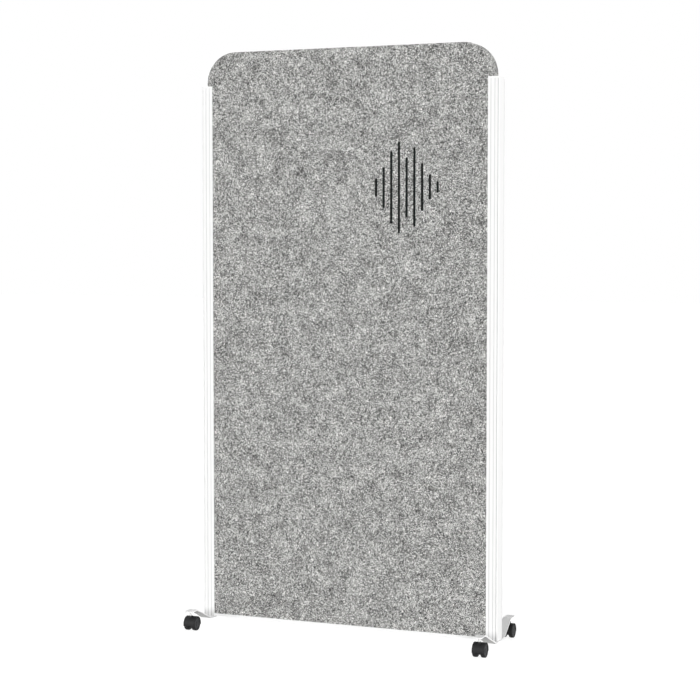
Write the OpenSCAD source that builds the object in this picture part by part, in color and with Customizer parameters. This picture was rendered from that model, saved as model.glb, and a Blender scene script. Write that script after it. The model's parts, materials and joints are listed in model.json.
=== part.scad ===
// Free-standing acoustic divider screen on casters.
// A felt-faced panel stands in a bottom rail between two fluted aluminium posts.
// Each post is bolted to a bent steel foot that runs from front to back,
// and each foot rolls on two twin-wheel swivel casters.
// X runs along the panel, Y from front to back, Z up. The origin is on the floor under the middle.

/* [Panel] */
// Height of the whole screen above the floor
screen_h = 1900; // [1400:10:2200]
// Width of the panel from edge to edge
panel_w = 990; // [600:10:1400]
// Thickness of the panel over both felts
panel_t = 48; // [40:1:60]
// Radius of the panel's top corners
corner_r = 100; // [40:1:180]
// Thickness of the felt on the front and the back
felt_t = 5; // [3:0.5:8]
// Thickness of the felt band round the panel's edge
edge_felt_t = 3; // [2:0.5:5]
// Width of the timber members inside the panel
timber_w = 40; // [25:1:60]

/* [Posts] */
// Width of a post along the panel
post_w = 38; // [34:1:50]
// Depth of a post from its front face to its back face
post_d = 54; // [52:1:70]
// Length of a post
post_h = 1767; // [1200:1:1780]
// How far the panel's edge enters a post
panel_grip = 18; // [12:1:20]
// Wall of the post's section
post_wall = 2.2; // [1.8:0.1:2.5]
// Height of the crowned ribs on the front and back faces
rib_h = 0.8; // [0.4:0.1:1.2]
// Radius of the grooves between the ribs
groove_r = 1.2; // [0.4:0.1:1.3]
// Radius of the post's outer corners
post_corner_r = 3.5; // [2:0.5:5]
// Thickness of the cap on top of a post
cap_t = 6; // [2:0.5:8]
// Depth of the cap's plug inside the post
cap_plug = 12; // [6:1:20]

/* [Bottom rail] */
// Height of the rail's lips
rail_h = 7.5; // [6:0.5:14]
// Wall of the rail
rail_wall = 2; // [1.5:0.1:3]
// Length of the tongues that reach into the posts
tongue_l = 14; // [8:1:16]
// Thickness of the pads between the tongues and the feet
pad_t = 2; // [1.5:0.5:8]

/* [Feet] */
// Length of a foot from front to back
foot_l = 350; // [300:5:420]
// Thickness of the foot's steel plate
foot_t = 4; // [4:0.5:6]
// Width of a foot under its post
foot_mid_w = 40; // [38:1:60]
// Width of a foot at its ends
foot_end_w = 27; // [24:1:40]
// Length of the low flat under the post
foot_mid_l = 84; // [74:2:100]
// Length of each raised flat over a caster
foot_end_l = 40; // [36:1:50]
// Height of the raised flats over the low flat
foot_rise = 43; // [30:1:48]
// Inner radius of the foot's bends
bend_r = 4; // [3:0.5:12]
// How far a foot's middle lies outside the middle of its post
foot_shift = 2; // [0:0.5:4]

/* [Casters] */
// Height from the floor to the underside of the raised flats
caster_h = 63; // [62:1:80]
// Diameter of the wheels over their tyres
wheel_d = 44; // [40:1:50]
// Width over both wheels
caster_w = 40; // [34:1:44]
// Width of one wheel
wheel_w = 13.4; // [10:0.2:13.6]
// Distance from the swivel axis to the wheels' axle
trail = 9; // [6:1:12]
// Distance from the foot's end to the swivel axis
stem_inset = 19; // [18:1:24]
// Diameter of the stem in the caster's socket
stem_d = 8; // [6:0.5:8]
// Diameter of the wheels' axle
axle_d = 6; // [5:0.5:7]
// Thickness of the tyres
tyre_t = 2.5; // [2:0.5:4]

/* [Fasteners] */
// Diameter of the bolts that hold the posts to the feet
bolt_d = 8; // [6:1:8]
// Length of the bolts
bolt_l = 35; // [25:5:50]
// Distance between the two bolts of a post
bolt_pitch = 26; // [22:1:30]
// Diameter of the screws that hold the panel to the feet
screw_d = 5; // [4:0.5:6]
// Length of the screws
screw_l = 40; // [35:1:50]

/* [Hidden] */
$fn = 96;

// Clearances between pieces
side_gap = 0.2;
edge_gap = 0.5;
end_gap = 0.2;
fit_gap = 0.05;
run_gap = 0.08;
wheel_gap = 0.4;
plug_gap = 0.15;
tongue_gap = 0.4;

// Overrun of every cut past the face that it opens
over = 1;

// Places of the grooves across a post's face, from its panel side
groove_shares = [0.26, 0.6, 0.88];

// Heights
foot_low = caster_h - foot_rise;
post_z = foot_low + foot_t;
post_top = post_z + post_h;
rail_z = post_z + pad_t;
panel_z = rail_z + rail_wall;

// Places along the panel
panel_x = panel_w / 2;
post_x = panel_x - panel_grip;
foot_x = post_x + post_w / 2 + foot_shift;
channel_w = panel_t + 2 * side_gap;
channel_l = panel_grip + edge_gap;
chamber_l = post_w - channel_l - 2 * post_wall;
port_x = post_x + channel_l + post_wall + chamber_l / 2;
port_r = bolt_d / 2 + post_wall;
screw_share = 0.57;
screw_x = post_x + tongue_l * screw_share;

// The timber frame and the core inside the felts
inner_t = panel_t - 2 * felt_t;
timber_x = panel_x - edge_felt_t;
timber_z = panel_z + edge_felt_t;
timber_top = screen_h - edge_felt_t;
block = max(corner_r, timber_w);
mid_z = (timber_z + timber_top - timber_w) / 2;

// The heads of the countersunk bolts and screws
bolt_head_r = bolt_d;
bolt_head_h = bolt_d / 2;
screw_head_r = screw_d;
screw_head_h = screw_d / 2;
socket_share = 0.5;

// The foot's mid surface, and the angle and the radius of its bends
foot_y1 = foot_mid_l / 2;
foot_y3 = foot_l / 2;
foot_y2 = foot_y3 - foot_end_l;
foot_angle = atan2(foot_rise, foot_y2 - foot_y1);
bend_mid_r = bend_r + foot_t / 2;
bend_back = bend_mid_r * tan(foot_angle / 2);
bend_steps = 6;
foot_corner_r = foot_t;

// The caster
stem_y = foot_l / 2 - stem_inset;
wheel_r = wheel_d / 2;
fender_gap = 1;
fender_t = 2;
fender_round_share = 0.8;
fender_round = fender_t * fender_round_share;
fender_r = wheel_r + fender_gap + fender_t;
hood_top = wheel_r + fender_r;
boss_rise = 3;
boss_top = hood_top + boss_rise;
web_w = caster_w - 2 * wheel_w - 2 * wheel_gap;
boss_inset = 0.3;
boss_r = web_w / 2 - boss_inset;
web_share = 0.65;
web_r = wheel_r * web_share;
fender_low_share = 0.23;
socket_floor_share = 0.95;
socket_floor = wheel_r * socket_floor_share;
stem_tip_gap = 0.5;
flange_t = 3;
flange_r = stem_d;
rim_r = wheel_r - tyre_t;
tyre_round_share = 0.6;
tyre_round = tyre_t * tyre_round_share;
dish_share = 0.16;
dish_depth = wheel_w * dish_share;
hub_r = axle_d;
hub_wall = 2;
bore_l = wheel_w - dish_depth - hub_wall;
axle_l = caster_w - 2 * (wheel_w - bore_l + end_gap);

// The spring ring that holds a stem in its socket
ring_z = hood_top - 2 * flange_t;
ring_h = 1;
ring_depth = 0.6;
ring_out = 0.5;

CORNERS = ["front_left", "front_right", "rear_left", "rear_right"];
SIDES = ["left", "right"];

// Helpers

// Extrudes an outline drawn in X and Z through the depth from y0 to y0 + depth
module through_depth(y0, depth) {
    translate([0, y0 + depth, 0]) rotate([90, 0, 0]) linear_extrude(depth) children();
}

// Draws the right-hand piece, or its mirror image on the left
module on_side(side) {
    mirror([side == "left" ? 1 : 0, 0, 0]) children();
}

// Puts a piece drawn round a swivel axis, with its wheels towards +Y, at one corner of the screen
module at_corner(corner) {
    front = corner == "front_left" || corner == "front_right";
    left = corner == "front_left" || corner == "rear_left";
    translate([left ? -foot_x : foot_x, front ? -stem_y : stem_y, 0])
        mirror([left ? 1 : 0, 0, 0])
            mirror([0, front ? 0 : 1, 0])
                children();
}

// A countersunk fastener that points up from z, with its head's face down and a key socket
module countersunk(r, head_r, head_h, length) {
    difference() {
        union() {
            cylinder(h = head_h, r1 = head_r, r2 = r);
            cylinder(h = length, r = r);
        }
        translate([0, 0, -over]) cylinder(h = over + head_h * socket_share, r = r * socket_share, $fn = 6);
    }
}

// The hole for a countersunk fastener through a plate
module countersunk_hole(r, head_r, head_h, depth) {
    translate([0, 0, -over]) cylinder(h = depth + 2 * over, r = r + fit_gap);
    cylinder(h = head_h, r1 = head_r + fit_gap, r2 = r + fit_gap);
    translate([0, 0, -over]) cylinder(h = over, r = head_r + fit_gap);
}

// Panel

// The panel's outline, drawn in by an inset: square at the bottom and round at the top corners
module panel_outline(inset) {
    r = corner_r - inset;
    x = panel_x - inset;
    z0 = panel_z + inset;
    z1 = screen_h - inset;
    translate([-x, z0]) square([2 * x, z1 - r - z0]);
    translate([r - x, z0]) square([2 * (x - r), z1 - z0]);
    for (s = [-1, 1]) translate([s * (x - r), z1 - r]) circle(r);
}

// The upright holes that let the panel screws into the panel's bottom edge
module screw_pilots() {
    for (s = [-1, 1])
        translate([s * screw_x, 0, foot_low]) cylinder(h = screw_l + fit_gap, r = screw_d / 2 + fit_gap);
}

module face_felt(y0) {
    through_depth(y0, felt_t) panel_outline(0);
}

module front_felt() {
    color("darkgray") face_felt(-panel_t / 2);
}

module back_felt() {
    color("darkgray") face_felt(panel_t / 2 - felt_t);
}

module edge_felt() {
    color("gray") difference() {
        through_depth(-inner_t / 2, inner_t) difference() {
            panel_outline(0);
            panel_outline(edge_felt_t);
        }
        screw_pilots();
    }
}

module bottom_batten() {
    color("burlywood") difference() {
        through_depth(-inner_t / 2, inner_t)
            translate([-timber_x, timber_z]) square([2 * timber_x, timber_w]);
        screw_pilots();
    }
}

module mid_batten() {
    x = timber_x - timber_w;
    color("burlywood") through_depth(-inner_t / 2, inner_t)
        translate([-x, mid_z]) square([2 * x, timber_w]);
}

module top_batten() {
    x = timber_x - block;
    color("burlywood") through_depth(-inner_t / 2, inner_t)
        translate([-x, timber_top - timber_w]) square([2 * x, timber_w]);
}

module stile(side) {
    z0 = timber_z + timber_w;
    color("burlywood") on_side(side) through_depth(-inner_t / 2, inner_t)
        translate([timber_x - timber_w, z0]) square([timber_w, timber_top - block - z0]);
}

module corner_block(side) {
    color("tan") on_side(side) through_depth(-inner_t / 2, inner_t) intersection() {
        panel_outline(edge_felt_t);
        translate([timber_x - block, timber_top - block]) square([block, block]);
    }
}

module lower_core() {
    x = timber_x - timber_w;
    z0 = timber_z + timber_w;
    color("ivory") through_depth(-inner_t / 2, inner_t)
        translate([-x, z0]) square([2 * x, mid_z - z0]);
}

module upper_core() {
    x = timber_x - timber_w;
    z0 = mid_z + timber_w;
    color("ivory") through_depth(-inner_t / 2, inner_t) {
        translate([-x, z0]) square([2 * x, timber_top - block - z0]);
        translate([block - timber_x, z0]) square([2 * (timber_x - block), timber_top - timber_w - z0]);
    }
}

// Posts

// One face of crowned ribs: arcs that rise from the base line to the post's full depth
module rib_face() {
    edges = concat([0], groove_shares * post_w);
    for (i = [0 : len(groove_shares) - 1]) {
        a = edges[i];
        b = edges[i + 1];
        half = (b - a) / 2;
        r = (half * half + rib_h * rib_h) / (2 * rib_h);
        intersection() {
            translate([a, -over]) square([b - a, over + 2 * rib_h]);
            translate([a + half, rib_h - r]) circle(r);
        }
    }
}

// The outside of the post's section, from its panel side at x = 0
module post_outside() {
    base = post_d / 2 - rib_h;
    translate([0, -base]) square([post_w - post_corner_r, 2 * base]);
    translate([0, post_corner_r - post_d / 2]) square([post_w, post_d - 2 * post_corner_r]);
    for (s = [-1, 1]) {
        translate([post_w - post_corner_r, s * (post_d / 2 - post_corner_r)]) circle(post_corner_r);
        mirror([0, s < 0 ? 1 : 0]) translate([0, base]) rib_face();
    }
}

// The grooves between the ribs
module post_grooves() {
    base = post_d / 2 - rib_h;
    for (s = [-1, 1], share = groove_shares)
        translate([share * post_w, s * base]) circle(groove_r);
}

// The channel that takes the panel's edge, open towards the panel
module post_channel() {
    translate([-over, -channel_w / 2]) square([over + channel_l, channel_w]);
}

// The hollow behind the channel, drawn in by a gap
module post_chamber(gap) {
    depth = post_d - 2 * rib_h - 2 * post_wall;
    translate([channel_l + post_wall + gap, gap - depth / 2])
        square([chamber_l - 2 * gap, depth - 2 * gap]);
}

// The round ports that the bolts screw into, with the ribs that tie them to the walls
module port_walls() {
    for (s = [-1, 1]) translate([port_x - post_x, s * bolt_pitch / 2]) {
        circle(port_r);
        translate([-chamber_l / 2, -post_wall / 2]) square([chamber_l, post_wall]);
    }
}

module post_section() {
    difference() {
        post_outside();
        post_grooves();
        post_channel();
        difference() {
            post_chamber(0);
            port_walls();
        }
        for (s = [-1, 1]) translate([port_x - post_x, s * bolt_pitch / 2]) circle(bolt_d / 2 + fit_gap);
    }
}

module post(side) {
    color("whitesmoke") on_side(side)
        translate([post_x, 0, post_z]) linear_extrude(post_h - cap_t) post_section();
}

module post_cap(side) {
    color("white") on_side(side) translate([post_x, 0, post_top - cap_t]) {
        linear_extrude(cap_t) difference() {
            post_outside();
            post_channel();
        }
        translate([0, 0, -cap_plug]) linear_extrude(cap_plug) difference() {
            intersection() {
                post_chamber(plug_gap);
                translate([0, -bolt_pitch / 2 + port_r + plug_gap])
                    square([post_w, bolt_pitch - 2 * (port_r + plug_gap)]);
            }
            post_channel();
        }
    }
}

// Bottom rail

module bottom_rail() {
    x = post_x - end_gap;
    out = channel_w / 2 + rail_wall;
    color("white") difference() {
        union() {
            translate([-x, -out, rail_z]) cube([2 * x, 2 * out, rail_h]);
            translate([-x - tongue_l, tongue_gap - channel_w / 2, rail_z])
                cube([2 * (x + tongue_l), channel_w - 2 * tongue_gap, rail_wall]);
        }
        translate([-x - over, -channel_w / 2, panel_z])
            cube([2 * (x + over), channel_w, rail_h]);
        for (s = [-1, 1]) translate([s * screw_x, 0, rail_z - over])
            cylinder(h = rail_wall + 2 * over, r = screw_d / 2 + fit_gap);
    }
}

module rail_pad(side) {
    y = channel_w / 2 - tongue_gap;
    color("dimgray") on_side(side) difference() {
        translate([post_x, -y, post_z]) cube([channel_l - end_gap, 2 * y, pad_t]);
        translate([screw_x, 0, post_z - over]) cylinder(h = pad_t + 2 * over, r = screw_d / 2 + fit_gap);
    }
}

// Feet

// Points on an arc round c, from one angle to another
function arc(c, r, from, to) = [
    for (i = [0 : bend_steps])
        let (angle = from + (to - from) * i / bend_steps)
            c + r * [cos(angle), sin(angle)]
];

// The foot's lower and upper outlines in Y and Z, from its middle to its rear end
low_mid = foot_low + foot_t / 2;
bend_low = [foot_y1 - bend_back, low_mid + bend_mid_r];
bend_high = [foot_y2 + bend_back, low_mid + foot_rise - bend_mid_r];
foot_under = concat(
    arc(bend_low, bend_mid_r + foot_t / 2, -90, foot_angle - 90),
    arc(bend_high, bend_mid_r - foot_t / 2, 90 + foot_angle, 90),
    [[foot_y3, caster_h]]
);
foot_over = concat(
    arc(bend_low, bend_mid_r - foot_t / 2, -90, foot_angle - 90),
    arc(bend_high, bend_mid_r + foot_t / 2, 90 + foot_angle, 90),
    [[foot_y3, caster_h + foot_t]]
);

// Points in reverse order, and points mirrored from the rear to the front
function reversed(points) = [for (i = [len(points) - 1 : -1 : 0]) points[i]];
function mirrored(points) = [for (p = points) [-p[0], p[1]]];

// The foot's outline seen from above: wide under the post, narrow at the ends
module foot_plan() {
    mid = foot_mid_w / 2;
    end = foot_end_w / 2;
    y = foot_y3 - foot_corner_r;
    polygon([
        [mid, -foot_y1], [mid, foot_y1], [end, foot_y2], [end, y],
        [-end, y], [-end, foot_y2], [-mid, foot_y1], [-mid, -foot_y1],
        [-end, -foot_y2], [-end, -y], [end, -y], [end, -foot_y2]
    ]);
    translate([foot_corner_r - end, -foot_y3]) square([2 * (end - foot_corner_r), 2 * foot_y3]);
    for (sx = [-1, 1], sy = [-1, 1]) translate([sx * (end - foot_corner_r), sy * y]) circle(foot_corner_r);
}

module foot(side) {
    outline = concat(foot_under, reversed(foot_over), mirrored(foot_over), reversed(mirrored(foot_under)));
    color("white") on_side(side) difference() {
        translate([foot_x, 0, 0]) intersection() {
            linear_extrude(caster_h + 2 * foot_t) foot_plan();
            translate([-foot_mid_w / 2 - over, 0, 0]) rotate([90, 0, 90])
                linear_extrude(foot_mid_w + 2 * over) polygon(outline);
        }
        for (s = [-1, 1]) {
            translate([port_x, s * bolt_pitch / 2, foot_low])
                countersunk_hole(bolt_d / 2, bolt_head_r, bolt_head_h, foot_t);
            translate([foot_x, s * stem_y, caster_h - over])
                cylinder(h = foot_t + 2 * over, r = stem_d / 2 + fit_gap);
        }
        translate([screw_x, 0, foot_low])
            countersunk_hole(screw_d / 2, screw_head_r, screw_head_h, foot_t);
    }
}

module post_bolts() {
    color("silver") for (side = SIDES, s = [-1, 1])
        on_side(side) translate([port_x, s * bolt_pitch / 2, foot_low])
            countersunk(bolt_d / 2, bolt_head_r, bolt_head_h, bolt_l);
}

module panel_screws() {
    color("silver") for (side = SIDES)
        on_side(side) translate([screw_x, 0, foot_low])
            countersunk(screw_d / 2, screw_head_r, screw_head_h, screw_l);
}

// Casters, each drawn round its swivel axis with its axle at y = trail

module stem(corner) {
    tip = socket_floor + stem_tip_gap;
    color("silver") at_corner(corner) difference() {
        union() {
            translate([0, 0, tip]) cylinder(h = caster_h + foot_t - tip, r = stem_d / 2);
            translate([0, 0, caster_h - flange_t]) cylinder(h = flange_t, r = flange_r, $fn = 6);
        }
        translate([0, 0, ring_z - fit_gap]) difference() {
            cylinder(h = ring_h + 2 * fit_gap, r = stem_d);
            translate([0, 0, -over]) cylinder(h = ring_h + 2 * over, r = stem_d / 2 - ring_depth);
        }
    }
}

module stem_rings() {
    color("silver") for (corner = CORNERS) at_corner(corner) translate([0, 0, ring_z]) difference() {
        cylinder(h = ring_h, r = stem_d / 2 + ring_out);
        translate([0, 0, -over]) cylinder(h = ring_h + 2 * over, r = stem_d / 2 - ring_depth + fit_gap);
    }
}

// The section of a ring round an axle, from low to high along it, with its outer edges rounded
module ring_section(inner_r, outer_r, low, high, round_r) {
    difference() {
        union() {
            translate([0, low]) square([outer_r - round_r, high - low]);
            translate([0, low + round_r]) square([outer_r, high - low - 2 * round_r]);
            for (z = [low + round_r, high - round_r]) translate([outer_r - round_r, z]) circle(round_r);
        }
        translate([0, low - over]) square([inner_r, high - low + 2 * over]);
    }
}

// The fender over both wheels, cut off level below the axle
module fender() {
    intersection() {
        rotate([0, 90, 0]) rotate_extrude()
            ring_section(wheel_r + fender_gap, fender_r, -caster_w / 2, caster_w / 2, fender_round);
        translate([-caster_w, -2 * fender_r, -wheel_r * fender_low_share])
            cube([2 * caster_w, 4 * fender_r, 2 * fender_r]);
    }
}

// The web between the wheels, seen from the side: it fills the fender and rounds off below the axle
module web_side() {
    r = fender_r - fender_t / 2;
    intersection() {
        circle(r);
        translate([-r, -wheel_r * fender_low_share]) square([2 * r, 2 * r]);
    }
    circle(web_r);
}

module hood(corner) {
    color("dimgray") at_corner(corner) difference() {
        union() {
            translate([0, trail, wheel_r]) fender();
            translate([-web_w / 2, trail, wheel_r]) rotate([90, 0, 90]) linear_extrude(web_w) web_side();
            translate([0, 0, wheel_r]) cylinder(h = boss_top - wheel_r, r = boss_r);
        }
        translate([0, 0, socket_floor]) cylinder(h = boss_top, r = stem_d / 2 + run_gap);
        translate([0, 0, ring_z - wheel_gap])
            cylinder(h = ring_h + 2 * wheel_gap, r = stem_d / 2 + ring_out + wheel_gap);
        translate([-caster_w, trail, wheel_r]) rotate([0, 90, 0])
            cylinder(h = 2 * caster_w, r = axle_d / 2 + fit_gap);
    }
}

module axle(corner) {
    color("silver") at_corner(corner)
        translate([-axle_l / 2, trail, wheel_r]) rotate([0, 90, 0]) cylinder(h = axle_l, r = axle_d / 2);
}

// Puts a ring drawn round the axle, from its inner face at height 0, on the outer or inner side of a hood
module at_wheel(corner, outer) {
    at_corner(corner) mirror([outer ? 0 : 1, 0, 0])
        translate([caster_w / 2 - wheel_w, trail, wheel_r]) rotate([0, 90, 0]) children();
}

// A wheel with a blind bore for the axle and a dish round its hub on the outer face
module wheel(corner, outer) {
    color("dimgray") at_wheel(corner, outer) rotate_extrude() difference() {
        square([rim_r, wheel_w]);
        translate([0, -over]) square([axle_d / 2 + run_gap, bore_l + over]);
        translate([hub_r, wheel_w - dish_depth]) square([rim_r - tyre_t - hub_r, dish_depth + over]);
    }
}

module tyre(corner, outer) {
    color("black") at_wheel(corner, outer)
        rotate_extrude() ring_section(rim_r + fit_gap, wheel_r, 0, wheel_w, tyre_round);
}

front_felt();
back_felt();
edge_felt();
lower_core();
upper_core();
bottom_batten();
mid_batten();
top_batten();
bottom_rail();
post_bolts();
panel_screws();
stem_rings();
for (side = SIDES) {
    stile(side);
    corner_block(side);
    post(side);
    post_cap(side);
    rail_pad(side);
    foot(side);
}
for (corner = CORNERS) {
    stem(corner);
    hood(corner);
    axle(corner);
    for (place = ["inner", "outer"]) {
        wheel(corner, place == "outer");
        tyre(corner, place == "outer");
    }
}
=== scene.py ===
"""Looks of a free-standing acoustic divider screen on casters.

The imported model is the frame, and its posts, caps, rail, feet, hoods and fasteners keep their shape.
New pieces are closed surfaces worked out as whole arrays: sheets whose rings run from the middle of one
face over the rim to the middle of the other, a band carried round an outline, and turned pieces whose
profile goes round an axle. Lengths are in metres.
"""
import json
import math

import bmesh
import bpy
import numpy as np
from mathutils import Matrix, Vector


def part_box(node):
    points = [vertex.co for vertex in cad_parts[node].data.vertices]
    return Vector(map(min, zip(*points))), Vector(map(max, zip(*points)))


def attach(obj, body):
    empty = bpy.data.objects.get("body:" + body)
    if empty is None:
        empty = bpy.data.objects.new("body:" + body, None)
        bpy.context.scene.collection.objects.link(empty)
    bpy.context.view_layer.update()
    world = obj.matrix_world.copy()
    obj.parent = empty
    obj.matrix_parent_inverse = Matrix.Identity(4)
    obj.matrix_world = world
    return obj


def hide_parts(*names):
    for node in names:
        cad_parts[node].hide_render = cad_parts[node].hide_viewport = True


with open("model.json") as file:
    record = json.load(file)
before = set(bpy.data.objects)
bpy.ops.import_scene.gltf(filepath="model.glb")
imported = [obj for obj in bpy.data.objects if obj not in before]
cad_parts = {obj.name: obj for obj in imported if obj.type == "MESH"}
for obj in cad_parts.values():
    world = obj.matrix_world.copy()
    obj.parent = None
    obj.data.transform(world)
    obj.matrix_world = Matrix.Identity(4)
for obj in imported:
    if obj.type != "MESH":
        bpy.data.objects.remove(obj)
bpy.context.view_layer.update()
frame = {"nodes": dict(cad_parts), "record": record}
post_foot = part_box("left_post")[0].z

MM = 0.001
CORNERS = ("front_left", "front_right", "rear_left", "rear_right")
PLACES = ("inner", "outer")

# Camera, from the outlines in the photograph
PHOTO_WIDTH = 700
FOCAL_PIXELS = 1746.5
OPTICAL_ROW = 337.42
SENSOR_WIDTH = 36.0
CAMERA_PLACE = (2.1441, -5.2248, 1.2814)
CAMERA_YAW = 22.27
CAMERA_PITCH = 3.16

# Panel
TOP_RADIUS = 100 * MM
LOW_RADIUS = 6 * MM
FELT_ROLL = 2 * MM
FELT_WAVE = 0.06 * MM
BAND_THICKNESS = 3 * MM
BAND_EDGE = 1.2 * MM
ARC_STEPS = 24
ROLL_STEPS = 6
STRAIGHT_POINTS = 40
FELT_RINGS = 22

# Wheels
AXLE_BORE = 3.08 * MM
TURN_STEPS = 96
TYRE_POWER = 3.2
TYRE_STEPS = 24
FILLET_STEPS = 6

# Printed mark: bars of a sound level, side by side about the middle of its place
MARK_X = 208 * MM
MARK_Z = 1451 * MM
MARK_PITCH = 26 * MM
MARK_WIDTH = 8 * MM
MARK_HEIGHTS = (60 * MM, 130 * MM, 230 * MM, 290 * MM, 190 * MM, 250 * MM, 150 * MM, 80 * MM, 36 * MM)
MARK_PROUD = 0.35 * MM
MARK_SUNK = 0.3 * MM
MARK_ROLL = 0.2 * MM
MARK_ARC_STEPS = 12
MARK_STRAIGHT_POINTS = 4
MARK_RINGS = 4

# Felt: the sizes of its grain, and what each part of the grain adds to its tone
FIBRE_SPACING = 5.6 * MM
FIBRE_SHARE = 0.10
FIBRE_LENGTH = 6 * MM
FIBRE_BEND = 9 * MM
FIBRE_BEND_SIZE = 22 * MM
TUFT_SIZE = 3.0 * MM
CLOUD_SIZE = 34 * MM
FUZZ_SIZE = 0.7 * MM
MIDDLE_TONE = 0.40
TUFT_CONTRAST = 4.9
CLOUD_CONTRAST = 1.1
LIGHT_FIBRES = 1.5
DARK_FIBRES = -1.45

# Painted shade on the posts, in their grooves, above the feet and along the rear edges of their sides: where it
# lies, from the origin, and the share of light that it takes
RIBS_START = 477.5 * MM
RIBS_END = 511.5 * MM
LAST_GROOVE = 506 * MM
SIDE_START = 514.3 * MM
GROOVE_LOW = 25.0 * MM
GROOVE_HIGH = 26.9 * MM
GROOVE_SHADE = (0.03, 0.17, 0.38)
FOOT_SHADE = 0.36
FOOT_SHADE_HEIGHT = 36 * MM
REAR_START = 15 * MM
REAR_END = 23 * MM
REAR_SHADE = 0.20

# Other finishes
DIMPLE_SIZE = 1.1 * MM
RUBBED_PALER = 0.006
COAT_START = 66.2 * MM

# Light: azimuth, elevation and what a white face turned to it gives back, as a share of white
LAMPS = {
    "key_lamp": (-35, 16, 0.56),
    "fill_lamp": (32, 12, 0.39),
    "side_lamp": (90, 7, 0.54),
    "back_lamp": (195, 8, 0.40),
}
LAMP_SPREAD = 18
SKY_LEVEL = 0.30
FLOOR_GLOW = 0.87
FLOOR_SHARE = 0.30
FLOOR_SIZE = 60.0


def linear(code):
    """Turns an sRGB hex colour into linear red, green, blue and alpha."""
    shares = [int(code[i:i + 2], 16) / 255 for i in (1, 3, 5)]
    return tuple(c / 12.92 if c <= 0.04045 else ((c + 0.055) / 1.055) ** 2.4 for c in shares) + (1.0,)


# Shapes


def surface(name, points, close_rows=False):
    """Makes a mesh of a grid of points, shape (rows, columns, 3), whose columns close in a loop.

    Rows that lie in one point are merged to a pole. close_rows joins the last row to the first.
    """
    rows, columns = points.shape[:2]
    index = np.arange(rows * columns).reshape(rows, columns)
    below = index if close_rows else index[:-1]
    above = np.roll(index, -1, axis=0) if close_rows else index[1:]
    quads = np.stack([below, np.roll(below, -1, axis=1), np.roll(above, -1, axis=1), above], axis=-1)
    mesh = bpy.data.meshes.new(name)
    mesh.from_pydata(points.reshape(-1, 3).tolist(), [], quads.reshape(-1, 4).tolist())
    work = bmesh.new()
    work.from_mesh(mesh)
    bmesh.ops.remove_doubles(work, verts=work.verts, dist=1e-7)
    bmesh.ops.recalc_face_normals(work, faces=work.faces)
    work.to_mesh(mesh)
    work.free()
    mesh.polygons.foreach_set("use_smooth", np.ones(len(mesh.polygons), bool))
    mesh.set_sharp_from_angle(angle=math.radians(40))
    piece = bpy.data.objects.new(name, mesh)
    bpy.context.scene.collection.objects.link(piece)
    return piece


def outline(x, half_width, low, high, top_radius, low_radius, arc_steps, straight_points):
    """A closed outline in X and Z about x, with its outward normals: four corner arcs and straight sides.

    Round a corner the point is centre + radius * (cos a, sin a), and the normal is (cos a, sin a).
    """
    top_x, low_x = half_width - top_radius, half_width - low_radius
    arcs = (
        (x + low_x, low + low_radius, low_radius, -90),
        (x + top_x, high - top_radius, top_radius, 0),
        (x - top_x, high - top_radius, top_radius, 90),
        (x - low_x, low + low_radius, low_radius, 180),
    )
    rounds = []
    for centre_x, centre_z, radius, start in arcs:
        angle = np.radians(np.linspace(start, start + 90, arc_steps))
        normal = np.column_stack([np.cos(angle), np.sin(angle)])
        rounds.append((np.array([centre_x, centre_z]) + radius * normal, normal))
    share = np.linspace(0, 1, straight_points + 2)[1:-1, None]
    points, normals = [], []
    for (arc, normal), (next_arc, _) in zip(rounds, rounds[1:] + rounds[:1]):
        points += [arc, arc[-1] + share * (next_arc[0] - arc[-1])]
        normals += [normal, np.repeat(normal[-1:], straight_points, axis=0)]
    return np.concatenate(points), np.concatenate(normals)


def in_depth(flat, depth):
    """Lifts points in X and Z to one depth, or to a depth for each."""
    return np.column_stack([flat[:, 0], np.broadcast_to(depth, len(flat)), flat[:, 1]])


def sheet_rings(points, normals, back, front, roll, rings, wave=0.0):
    """Rings of a sheet with a flat back and a front whose rim is rolled over by a quarter circle.

    A ring on a face is the rim drawn to its middle by a share. The front's depth has a slow
    unevenness of three crossing sine waves, which fades out towards the rim.
    """
    toward = math.copysign(1, front - back)
    shares = np.linspace(0, 1, rings)
    middle = (points.max(axis=0) + points.min(axis=0)) / 2
    rows = [in_depth(middle + share * (points - middle), back) for share in shares]
    for angle in np.radians(np.linspace(0, 90, ROLL_STEPS)):
        inset = roll * (1 - math.cos(angle))
        rows.append(in_depth(points - inset * normals, front - toward * roll * (1 - math.sin(angle))))
    rim = points - roll * normals
    for share in shares[-2::-1]:
        flat = middle + share * (rim - middle)
        x, z = flat[:, 0], flat[:, 1]
        uneven = np.sin(23 * x + 1) * np.sin(17 * z) + np.sin(41 * (x + z)) / 2 + np.sin(67 * (x - z)) / 3
        rows.append(in_depth(flat, front + toward * wave * uneven * (1 - share ** 8)))
    return np.stack(rows)


def band_rings(points, normals, low, high, thickness, edge):
    """Rings of a band carried round an outline: a rectangle in inset and depth, its outer edges rounded."""
    angle = np.radians(np.linspace(0, 90, ROLL_STEPS))
    inset = edge * (1 - np.sin(angle))
    rise = edge * (1 - np.cos(angle))
    insets = np.concatenate([[thickness], inset, inset[::-1], [thickness]])
    depths = np.concatenate([[low], low + rise, high - rise[::-1], [high]])
    return np.stack([in_depth(points - i * normals, d) for i, d in zip(insets, depths)])


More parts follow.
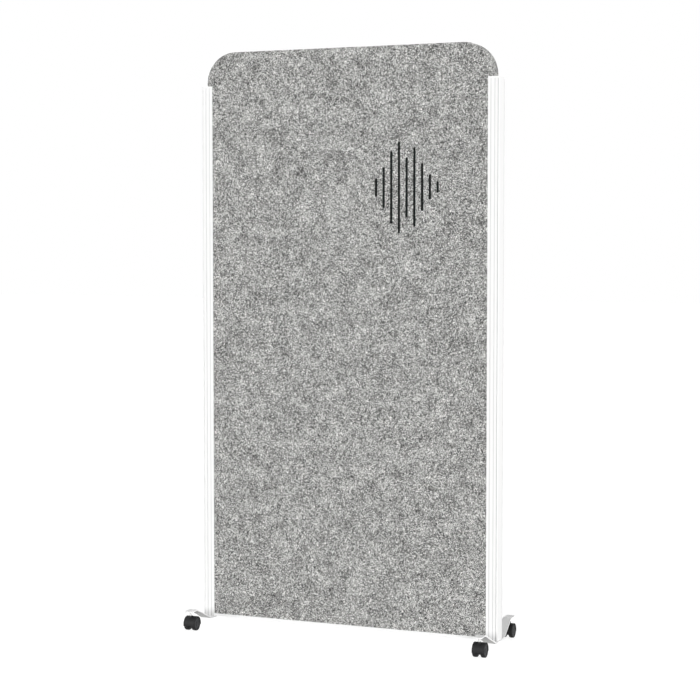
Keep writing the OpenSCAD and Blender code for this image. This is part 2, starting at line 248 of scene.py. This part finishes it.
def filleted(points, reach):
    """Rounds the inner corners of an open line of points: near a corner C the line follows the curve
    (1-t)^2 A + 2t(1-t) C + t^2 B, from a point A before the corner to a point B after it."""
    points = np.array(points)
    t = np.linspace(0, 1, FILLET_STEPS)[:, None]
    line = [points[:1]]
    for before, corner, after in zip(points, points[1:], points[2:]):
        ahead, behind = before - corner, after - corner
        near = min(reach, np.linalg.norm(ahead) / 2, np.linalg.norm(behind) / 2)
        a = corner + ahead / np.linalg.norm(ahead) * near
        b = corner + behind / np.linalg.norm(behind) * near
        line.append((1 - t) ** 2 * a + 2 * t * (1 - t) * corner + t ** 2 * b)
    line.append(points[-1:])
    return np.concatenate(line)


def turned(name, profile, start, outward, close_rows):
    """Turns a profile of (height, radius) round an axle along X that begins at start.

    At angle a it is start + (outward * height, radius cos a, radius sin a).
    """
    angle = np.linspace(0, 2 * math.pi, TURN_STEPS, endpoint=False)
    height, radius = profile[:, :1], profile[:, 1:]
    x = start[0] + outward * height + 0 * angle
    y = start[1] + radius * np.cos(angle)
    z = start[2] + radius * np.sin(angle)
    return surface(name, np.stack([x, y, z], axis=-1), close_rows)


# Materials


def add(tree, kind, settings=None, inputs=None):
    """Adds a node to a tree, with its settings, its inputs' values and its links."""
    node = tree.nodes.new(kind)
    for key, value in (settings or {}).items():
        setattr(node, key, value)
    for key, value in (inputs or {}).items():
        if isinstance(value, bpy.types.NodeSocket):
            tree.links.new(value, node.inputs[key])
        else:
            node.inputs[key].default_value = value
    return node


def new_material(name, **values):
    """A material with one Principled shader, whose named sockets take values: (material, tree, shader)."""
    material = bpy.data.materials.new(name)
    material.use_nodes = True
    tree = material.node_tree
    tree.nodes.clear()
    shader = add(tree, "ShaderNodeBsdfPrincipled", inputs={k.replace("_", " "): v for k, v in values.items()})
    add(tree, "ShaderNodeOutputMaterial", inputs={"Surface": shader.outputs["BSDF"]})
    return material, tree, shader


def object_coordinates(tree):
    return add(tree, "ShaderNodeTexCoord").outputs["Object"]


def grain(tree, coords, size, detail=2.0, roughness=0.5, **place):
    """Noise whose blotches are about size across, from 0 to 1."""
    if place:
        coords = add(tree, "ShaderNodeMapping", inputs={"Vector": coords, **place}).outputs["Vector"]
    inputs = {"Vector": coords, "Scale": 1 / size, "Detail": detail, "Roughness": roughness}
    return add(tree, "ShaderNodeTexNoise", inputs=inputs).outputs["Fac"]


def share_between(tree, value, low, high, to_low=0.0, to_high=1.0):
    """Maps a value between low and high to a smooth share."""
    settings = {"interpolation_type": "SMOOTHSTEP"}
    inputs = {"Value": value, "From Min": low, "From Max": high, "To Min": to_low, "To Max": to_high}
    return add(tree, "ShaderNodeMapRange", settings, inputs).outputs["Result"]


def compute(tree, operation, *values):
    node = add(tree, "ShaderNodeMath", {"operation": operation})
    for socket, value in zip(node.inputs, values):
        if isinstance(value, bpy.types.NodeSocket):
            tree.links.new(value, socket)
        else:
            socket.default_value = value
    return node.outputs["Value"]


def blend_colors(tree, share, first, second):
    node = add(tree, "ShaderNodeMix", {"data_type": "RGBA"})
    for socket, value in ((node.inputs[0], share), (node.inputs[6], first), (node.inputs[7], second)):
        if isinstance(value, bpy.types.NodeSocket):
            tree.links.new(value, socket)
        else:
            socket.default_value = value
    return node.outputs[2]


def relief(tree, shader, height, depth, strength=1.0):
    """Gives a shader a bump whose full height is depth."""
    inputs = {"Height": height, "Distance": depth, "Strength": strength}
    bump = add(tree, "ShaderNodeBump", inputs=inputs)
    tree.links.new(bump.outputs["Normal"], shader.inputs["Normal"])


def fibre_net(tree, coords, spacing, place, turn):
    """Curled fibres: thin lines where a noise passes its middle value, 1 on a line and 0 beside it.

    A second noise, moved by the numbers of turn, breaks the lines into short lengths.
    """
    noise = grain(tree, coords, spacing, detail=1.0, Location=place, Rotation=turn)
    off = compute(tree, "ABSOLUTE", compute(tree, "SUBTRACT", noise, 0.5))
    line = share_between(tree, off, 0.0, FIBRE_SHARE / 2, 1.0, 0.0)
    length = grain(tree, coords, FIBRE_LENGTH, detail=1.0, Location=turn)
    return compute(tree, "MULTIPLY", line, share_between(tree, length, 0.42, 0.58))


def melange_felt(name, middle, light, dark):
    """Pressed felt of light and dark grey fibres: curled single fibres over soft tufts, fully matte.

    Real fibres are a tenth of a millimetre thick. Here they are drawn a millimetre and more thick, the
    width of the clumps that they lie in, so that the grain shows from across a room.
    """
    material, tree, shader = new_material(name, Roughness=0.95, Specular_IOR_Level=0.2, Sheen_Weight=0.08)
    coords = object_coordinates(tree)
    inputs = {"Vector": coords, "Scale": 1 / FIBRE_BEND_SIZE, "Detail": 1.0}
    wander = add(tree, "ShaderNodeTexNoise", inputs=inputs).outputs["Color"]
    centred = add(tree, "ShaderNodeVectorMath", {"operation": "SUBTRACT"}, {0: wander, 1: (0.5,) * 3})
    inputs = {0: centred.outputs["Vector"], 1: (FIBRE_BEND,) * 3, 2: coords}
    bent = add(tree, "ShaderNodeVectorMath", {"operation": "MULTIPLY_ADD"}, inputs).outputs["Vector"]
    nets = [
        fibre_net(tree, bent, FIBRE_SPACING * size, (place, -place, 2 * place), (0.4 * place, place, 0.0))
        for size, place in ((1.0, 1.3), (0.8, 2.9), (1.1, 4.7), (0.85, 6.1))
    ]
    tufts = grain(tree, coords, TUFT_SIZE, detail=3.0, roughness=0.7, Location=(9.0, 2.0, 5.0))
    clouds = grain(tree, coords, CLOUD_SIZE, detail=3.0, Location=(3.0, 8.0, 1.0))
    tone = compute(tree, "MULTIPLY_ADD", compute(tree, "SUBTRACT", tufts, 0.5), TUFT_CONTRAST, MIDDLE_TONE)
    tone = compute(tree, "MULTIPLY_ADD", compute(tree, "SUBTRACT", clouds, 0.5), CLOUD_CONTRAST, tone)
    lights = compute(tree, "MAXIMUM", nets[0], nets[1])
    darks = compute(tree, "MAXIMUM", nets[2], nets[3])
    tone = compute(tree, "MULTIPLY_ADD", lights, LIGHT_FIBRES, tone)
    tone = compute(tree, "MULTIPLY_ADD", darks, DARK_FIBRES, tone)
    lower = blend_colors(tree, share_between(tree, tone, -0.4, 0.5), dark, middle)
    color = blend_colors(tree, share_between(tree, tone, 0.5, 1.4), lower, light)
    tree.links.new(color, shader.inputs["Base Color"])
    fuzz = grain(tree, coords, FUZZ_SIZE, detail=3.0)
    height = compute(tree, "MULTIPLY_ADD", fuzz, 0.5, lights)
    relief(tree, shader, height, 0.25 * MM, 0.6)
    return material


def painted_post_shade(tree, color):
    """A coat's colour with painted shade on the posts, whose ribs lie between RIBS_START and RIBS_END to each
    side.

    The painted shade lies in their grooves, between GROOVE_LOW and GROOVE_HIGH from the middle of their depth,
    with its three groove shares in the last groove to the left, in the others and in the last to the right. It
    also lies, as a painted shadow, on the lowest stretch of their front and back above the feet, up to its set
    height, and along the rear edges of their outer sides.
    """
    place = add(tree, "ShaderNodeSeparateXYZ", inputs={"Vector": object_coordinates(tree)}).outputs
    across, depth = (compute(tree, "ABSOLUTE", place[axis]) for axis in ("X", "Y"))
    on_post = share_between(tree, across, RIBS_START, RIBS_START + 1 * MM)
    on_ribs = share_between(tree, across, RIBS_END - 1 * MM, RIBS_END, 1.0, 0.0)
    on_side = share_between(tree, across, SIDE_START, SIDE_START + 0.5 * MM)
    # painted shade in the grooves
    in_grooves = share_between(tree, depth, GROOVE_LOW, GROOVE_HIGH, 1.0, 0.0)
    in_grooves = compute(tree, "MULTIPLY", compute(tree, "MULTIPLY", in_grooves, on_post), on_ribs)
    left = share_between(tree, place["X"], -LAST_GROOVE, -LAST_GROOVE + 1 * MM, *GROOVE_SHADE[:2])
    more = GROOVE_SHADE[2] - GROOVE_SHADE[1]
    right = share_between(tree, place["X"], LAST_GROOVE - 1 * MM, LAST_GROOVE, 0.0, more)
    grooves = compute(tree, "MULTIPLY", in_grooves, compute(tree, "ADD", left, right))
    # painted shadow on the lowest part of the posts above the feet
    low = share_between(tree, place["Z"], post_foot, post_foot + FOOT_SHADE_HEIGHT, FOOT_SHADE, 0.0)
    low = compute(tree, "MULTIPLY", low, share_between(tree, depth, GROOVE_LOW - 1 * MM, GROOVE_LOW))
    low = compute(tree, "MULTIPLY", low, on_post)
    # painted shade along the rear edges of the outer sides
    rear = share_between(tree, place["Y"], REAR_START, REAR_END, 0.0, REAR_SHADE)
    rear = compute(tree, "MULTIPLY", rear, on_side)
    painted_shade = compute(tree, "ADD", compute(tree, "ADD", grooves, low), rear)
    return blend_colors(tree, painted_shade, color, (0.0, 0.0, 0.0, 1.0))


def powder_coat(name, color, gloss, painted_shade=False):
    """Matte powder coat on metal, with the faint dimples of melted powder, and where asked painted shade on the
    posts.
    """
    values = {"Base_Color": color, "Roughness": gloss, "IOR": 1.5, "Specular_IOR_Level": 0.04}
    material, tree, shader = new_material(name, **values)
    # painted shade on the posts' coat: darker grooves, a painted shadow above the feet, darker rear edges of the
    # sides
    if painted_shade:
        tree.links.new(painted_post_shade(tree, color), shader.inputs["Base Color"])
    dimples = grain(tree, object_coordinates(tree), DIMPLE_SIZE, detail=1.0)
    relief(tree, shader, dimples, 0.02 * MM, 0.5)
    return material


def moulded_nylon(name, color, gloss, size):
    """Injection-moulded nylon with a fine spark-eroded texture, a little paler and duller where rubbed."""
    material, tree, shader = new_material(name, IOR=1.53, Specular_IOR_Level=0.2)
    coords = object_coordinates(tree)
    cloud = grain(tree, coords, 9 * MM, detail=3.0)
    pale = tuple(c + RUBBED_PALER for c in color[:3]) + (1.0,)
    worn = share_between(tree, cloud, 0.45, 0.75)
    tree.links.new(blend_colors(tree, worn, color, pale), shader.inputs["Base Color"])
    tree.links.new(share_between(tree, cloud, 0.3, 0.7, gloss, gloss + 0.12), shader.inputs["Roughness"])
    relief(tree, shader, grain(tree, coords, size, detail=2.0), 0.05 * MM, 0.5)
    return material


def zinc_plate(name):
    """Bright zinc on turned steel: a grey metal with fine rings of turning and cloudy gloss.

    Above COAT_START the feet's white coat covers it, so that the stems' riveted ends don't shine.
    """
    material, tree, shader = new_material(name)
    coords = object_coordinates(tree)
    cloud = grain(tree, coords, 4 * MM, detail=4.0)
    tint = blend_colors(tree, cloud, linear("#C4C4C3"), linear("#E2E2E1"))
    place = add(tree, "ShaderNodeSeparateXYZ", inputs={"Vector": coords})
    bare = share_between(tree, place.outputs["Z"], COAT_START, COAT_START + 0.2 * MM, 1.0, 0.0)
    tree.links.new(blend_colors(tree, bare, linear("#F0F0EE"), tint), shader.inputs["Base Color"])
    tree.links.new(bare, shader.inputs["Metallic"])
    dull = compute(tree, "MULTIPLY_ADD", bare, -0.4, 0.4)
    gloss = share_between(tree, cloud, 0.3, 0.7, 0.22, 0.38)
    tree.links.new(compute(tree, "ADD", gloss, dull), shader.inputs["Roughness"])
    rings = grain(tree, coords, 6 * MM, detail=2.0, Scale=(1.0, 1.0, 22.0))
    relief(tree, shader, rings, 0.02 * MM, 0.4)
    return material


def planed_wood(name, pale, ring_dark):
    """Planed softwood or board: yearly rings as bands of a bent coordinate, with fine pores along them."""
    material, tree, shader = new_material(name, Roughness=0.6)
    coords = object_coordinates(tree)
    inputs = {"Vector": coords, "Scale": 1 / (60 * MM), "Distortion": 3.0, "Detail": 3.0}
    rings = add(tree, "ShaderNodeTexWave", {"bands_direction": "Y"}, inputs).outputs["Fac"]
    pores = grain(tree, coords, 2 * MM, detail=3.0, Scale=(1.0, 1.0, 0.1))
    tone = compute(tree, "MULTIPLY_ADD", pores, 0.3, rings)
    tree.links.new(blend_colors(tree, tone, pale, ring_dark), shader.inputs["Base Color"])
    relief(tree, shader, pores, 0.1 * MM, 0.5)
    return material


def fibre_slab(name):
    """Sound-absorbing fibre slab: cream fibres in layers, rough and matte."""
    material, tree, shader = new_material(name, Roughness=1.0, Specular_IOR_Level=0.1)
    coords = object_coordinates(tree)
    layers = grain(tree, coords, 5 * MM, detail=4.0, Scale=(1.0, 4.0, 1.0))
    color = blend_colors(tree, layers, linear("#B9B19C"), linear("#EDE6D4"))
    tree.links.new(color, shader.inputs["Base Color"])
    relief(tree, shader, layers, 0.8 * MM, 0.8)
    return material


def printed_ink(name):
    """Matte black ink on felt: it lies in the fibres, which show through as a fine grain."""
    material, tree, shader = new_material(name, Roughness=0.8, Specular_IOR_Level=0.2)
    fibres = grain(tree, object_coordinates(tree), 1.5 * MM, detail=4.0, roughness=0.7)
    color = blend_colors(tree, fibres, linear("#060606"), linear("#1A1A1A"))
    tree.links.new(color, shader.inputs["Base Color"])
    relief(tree, shader, fibres, 0.15 * MM, 0.6)
    return material


materials = {
    "face_felt": melange_felt("pressed_felt", linear("#8E8E8C"), linear("#F0F0EE"), linear("#333333")),
    "acoustic_core": fibre_slab("fibre_slab"),
    "timber": planed_wood("planed_softwood", linear("#D9B98A"), linear("#B08A58")),
    "board": planed_wood("cut_board", linear("#B99A70"), linear("#93744C")),
    # the posts' coat carries painted shade in its grooves, above the feet and along its sides' rear edges
    "coated_aluminium": powder_coat("white_powder_coat_on_aluminium", linear("#F2F2F2"), 0.70, painted_shade=True),
    "coated_steel": powder_coat("white_powder_coat_on_steel", linear("#F4F4F4"), 0.70),
    "white_plastic": moulded_nylon("white_moulded_cap", linear("#F2F2F2"), 0.55, 0.4 * MM),
    "grey_rubber": moulded_nylon("grey_rubber", linear("#B5B5B3"), 0.75, 0.6 * MM),
    "zinc_steel": zinc_plate("zinc_plated_steel"),
    "black_nylon": moulded_nylon("black_hood_nylon", linear("#1B1B1C"), 0.52, 0.5 * MM),
    "wheel_nylon": moulded_nylon("black_wheel_nylon", linear("#28282A"), 0.52, 0.5 * MM),
    "tyre_rubber": moulded_nylon("soft_black_tread", linear("#1E1E1F"), 0.65, 0.8 * MM),
    "mark_print": printed_ink("matte_black_ink"),
}
materials["edge_felt"] = materials["face_felt"]


def dress(piece, slot_name):
    """Gives a new piece the material of the record's slot that it belongs to."""
    piece.data.materials.append(materials[slot_name])


# The panel

face_low, face_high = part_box("front_felt")
band_low, band_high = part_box("edge_felt")
panel_outline, panel_normals = outline(
    0, face_high.x, face_low.z, face_high.z, TOP_RADIUS, LOW_RADIUS, ARC_STEPS, STRAIGHT_POINTS
)


def face_felt(node):
    """The felt on one face: a sheet glued flat to the core, its rim rolled over."""
    low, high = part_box(node)
    faces = (low.y, high.y)
    front = max(faces, key=abs)
    back = min(faces, key=abs)
    rings = sheet_rings(panel_outline, panel_normals, back, front, FELT_ROLL, FELT_RINGS, FELT_WAVE)
    piece = surface(node + "_sheet", rings)
    dress(piece, "face_felt")
    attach(piece, "root")
    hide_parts(node)


def edge_felt():
    """The felt band round the panel's edge, between the two faces."""
    rings = band_rings(panel_outline, panel_normals, band_low.y, band_high.y, BAND_THICKNESS, BAND_EDGE)
    piece = surface("edge_felt_band", rings, close_rows=True)
    dress(piece, "edge_felt")
    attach(piece, "root")
    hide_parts("edge_felt")


def sound_mark():
    """A printed mark: upright bars with round ends, as a sound's level rises and dies away."""
    face = face_low.y
    for i, height in enumerate(MARK_HEIGHTS):
        x = MARK_X + (i - (len(MARK_HEIGHTS) - 1) / 2) * MARK_PITCH
        half = MARK_WIDTH / 2
        points, normals = outline(
            x, half, MARK_Z - height / 2, MARK_Z + height / 2, half, half, MARK_ARC_STEPS, MARK_STRAIGHT_POINTS
        )
        rings = sheet_rings(points, normals, face + MARK_SUNK, face - MARK_PROUD, MARK_ROLL, MARK_RINGS)
        piece = surface(f"sound_mark_bar_{i + 1}", rings)
        dress(piece, "mark_print")
        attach(piece, "root")


face_felt("front_felt")
face_felt("back_felt")
edge_felt()
sound_mark()


# The casters


def tyre(corner, place, outward):
    """A tyre: its section is a flattened oval cut off at the rim, |height|^p + |rise|^p = 1."""
    node = f"{corner}_{place}_tyre"
    low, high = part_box(node)
    wheel_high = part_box(f"{corner}_{place}_wheel")[1]
    centre = (low + high) / 2
    width, outer = high.x - low.x, (high.z - low.z) / 2
    rim = wheel_high.z - centre.z
    angle = np.linspace(0, math.pi, TYRE_STEPS)
    side = np.sign(np.cos(angle)) * np.abs(np.cos(angle)) ** (2 / TYRE_POWER)
    rise = np.abs(np.sin(angle)) ** (2 / TYRE_POWER)
    profile = np.column_stack([width / 2 * side, rim + (outer - rim) * rise])
    piece = turned(node + "_tread", profile, centre, outward, close_rows=True)
    dress(piece, "tyre_rubber")
    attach(piece, f"{corner}_{place}_roller")
    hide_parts(node)


def wheel(corner, place, outward):
    """A wheel: blind bore, rim, and on the outer face a lip, a shallow dish and a domed hub.

    Its section's corners are heights as shares of the width, and radii as shares of the rim's.
    """
    node = f"{corner}_{place}_wheel"
    low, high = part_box(node)
    centre = (low + high) / 2
    width, rim = high.x - low.x, (high.z - low.z) / 2
    deep = 0.69 * width
    corners = [
        (deep, 0), (deep, AXLE_BORE), (0, AXLE_BORE), (0, 0.98 * rim), (0.02 * width, rim),
        (0.95 * width, rim), (width, 0.96 * rim), (width, 0.885 * rim), (0.88 * width, 0.84 * rim),
        (0.84 * width, 0.42 * rim), (0.93 * width, 0.34 * rim), (0.95 * width, 0.27 * rim), (0.97 * width, 0),
    ]
    start = (centre.x - outward * width / 2, centre.y, centre.z)
    piece = turned(node + "_disc", filleted(corners, 0.6 * MM), start, outward, close_rows=False)
    dress(piece, "wheel_nylon")
    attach(piece, f"{corner}_{place}_roller")
    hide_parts(node)


for corner in CORNERS:
    away = -1 if corner.endswith("left") else 1
    for place in PLACES:
        outward = away if place == "outer" else -away
        tyre(corner, place, outward)
        wheel(corner, place, outward)


# The nodes that keep their own shape

slots = {part["node"]: part["material_slot"] for part in frame["record"]["subparts"]}
for node, piece in frame["nodes"].items():
    piece.data.materials.clear()
    piece.data.materials.append(materials[slots[node]])


# Stage, light and camera


def seen_directly(tree):
    """1 for rays of the camera, of gloss and of glass, and 0 for the rays that light the object."""
    path = add(tree, "ShaderNodeLightPath").outputs
    looking = compute(tree, "MAXIMUM", path["Is Camera Ray"], path["Is Glossy Ray"])
    return compute(tree, "MAXIMUM", looking, path["Is Transmission Ray"])


def floor():
    """A plain white floor that keeps the object's shadow."""
    half = FLOOR_SIZE / 2
    mesh = bpy.data.meshes.new("floor")
    mesh.from_pydata([(-half, -half, 0), (half, -half, 0), (half, half, 0), (-half, half, 0)], [], [(0, 1, 2, 3)])
    piece = bpy.data.objects.new("floor", mesh)
    bpy.context.scene.collection.objects.link(piece)
    material = bpy.data.materials.new("white_paper_floor")
    material.use_nodes = True
    tree = material.node_tree
    tree.nodes.clear()
    paper = add(tree, "ShaderNodeBsdfDiffuse", inputs={"Color": linear("#CECECC")})
    shadowed = add(tree, "ShaderNodeBsdfDiffuse", inputs={"Color": (FLOOR_SHARE,) * 3 + (1.0,)})
    glow = add(tree, "ShaderNodeEmission", inputs={"Strength": FLOOR_GLOW})
    both = add(tree, "ShaderNodeAddShader", inputs={0: shadowed.outputs[0], 1: glow.outputs[0]})
    inputs = {0: seen_directly(tree), 1: paper.outputs[0], 2: both.outputs[0]}
    mixed = add(tree, "ShaderNodeMixShader", inputs=inputs)
    add(tree, "ShaderNodeOutputMaterial", inputs={"Surface": mixed.outputs[0]})
    mesh.materials.append(material)


def sky():
    """An even sky: white where it is seen, and soft where it lights the object."""
    world = bpy.data.worlds.new("studio")
    bpy.context.scene.world = world
    world.use_nodes = True
    tree = world.node_tree
    tree.nodes.clear()
    soft = add(tree, "ShaderNodeBackground", inputs={"Color": (1, 1, 1, 1), "Strength": SKY_LEVEL})
    white = add(tree, "ShaderNodeBackground", inputs={"Color": (1, 1, 1, 1), "Strength": 1.0})
    inputs = {0: seen_directly(tree), 1: soft.outputs[0], 2: white.outputs[0]}
    mixed = add(tree, "ShaderNodeMixShader", inputs=inputs)
    add(tree, "ShaderNodeOutputWorld", inputs={"Surface": mixed.outputs[0]})


def soft_lamp(name, azimuth, elevation, level):
    """A broad distant lamp. Azimuth 0 shines along +Y from the front, and 90 comes from +X."""
    light = bpy.data.lights.new(name, "SUN")
    light.energy = level * math.pi
    light.angle = math.radians(LAMP_SPREAD)
    lamp = bpy.data.objects.new(name, light)
    lamp.rotation_euler = (math.radians(90 - elevation), 0, math.radians(azimuth))
    bpy.context.scene.collection.objects.link(lamp)


def photo_camera():
    data = bpy.data.cameras.new("photo_camera")
    data.sensor_width = SENSOR_WIDTH
    data.lens = FOCAL_PIXELS * SENSOR_WIDTH / PHOTO_WIDTH
    data.shift_y = (OPTICAL_ROW - PHOTO_WIDTH / 2) / PHOTO_WIDTH
    data.clip_end = 2 * FLOOR_SIZE
    camera = bpy.data.objects.new("photo_camera", data)
    camera.location = CAMERA_PLACE
    camera.rotation_euler = (math.radians(90 - CAMERA_PITCH), 0, math.radians(CAMERA_YAW))
    bpy.context.scene.collection.objects.link(camera)
    bpy.context.scene.camera = camera


floor()
sky()
for name, (azimuth, elevation, level) in LAMPS.items():
    soft_lamp(name, azimuth, elevation, level)
photo_camera()
bpy.context.scene.view_settings.view_transform = "Standard"
